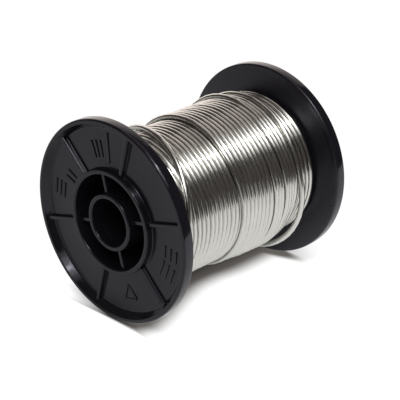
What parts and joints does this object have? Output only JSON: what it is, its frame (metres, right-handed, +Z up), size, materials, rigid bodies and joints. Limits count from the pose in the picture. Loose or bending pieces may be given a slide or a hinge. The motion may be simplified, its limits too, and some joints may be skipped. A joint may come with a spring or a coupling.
{
  "type": "solder wire spool",
  "caption": "Moulded black plastic spool lying on its flanges, level wound with flux-cored solder wire; ribbed recessed flanges and a webbed hub round an arbor bore.",
  "frame": {"origin": "centre of the arbor bore at the spool's mid-length", "axes": "+Y along the spool's axis from the front flange to the rear flange, +Z up as it lies on its two rims"},
  "size_m": [0.054, 0.0604, 0.054],
  "materials": {
    "spool_plastic": "satin moulded black polystyrene",
    "solder_alloy": "bright drawn tin-lead wire",
    "rosin_flux": "glassy amber rosin"
  },
  "bodies": {
    "root": {"front_half": "spool_plastic", "rear_half": "spool_plastic", "winding_layer_1": "solder_alloy", "winding_layer_2": "solder_alloy", "winding_layer_3": "solder_alloy", "winding_layer_4": "solder_alloy", "winding_layer_5": "solder_alloy", "front_crossing_strand": "solder_alloy", "rear_loose_turn": "solder_alloy", "wire_free_end": "solder_alloy", "flux_core_end": "rosin_flux"}
  },
  "joints": []
}
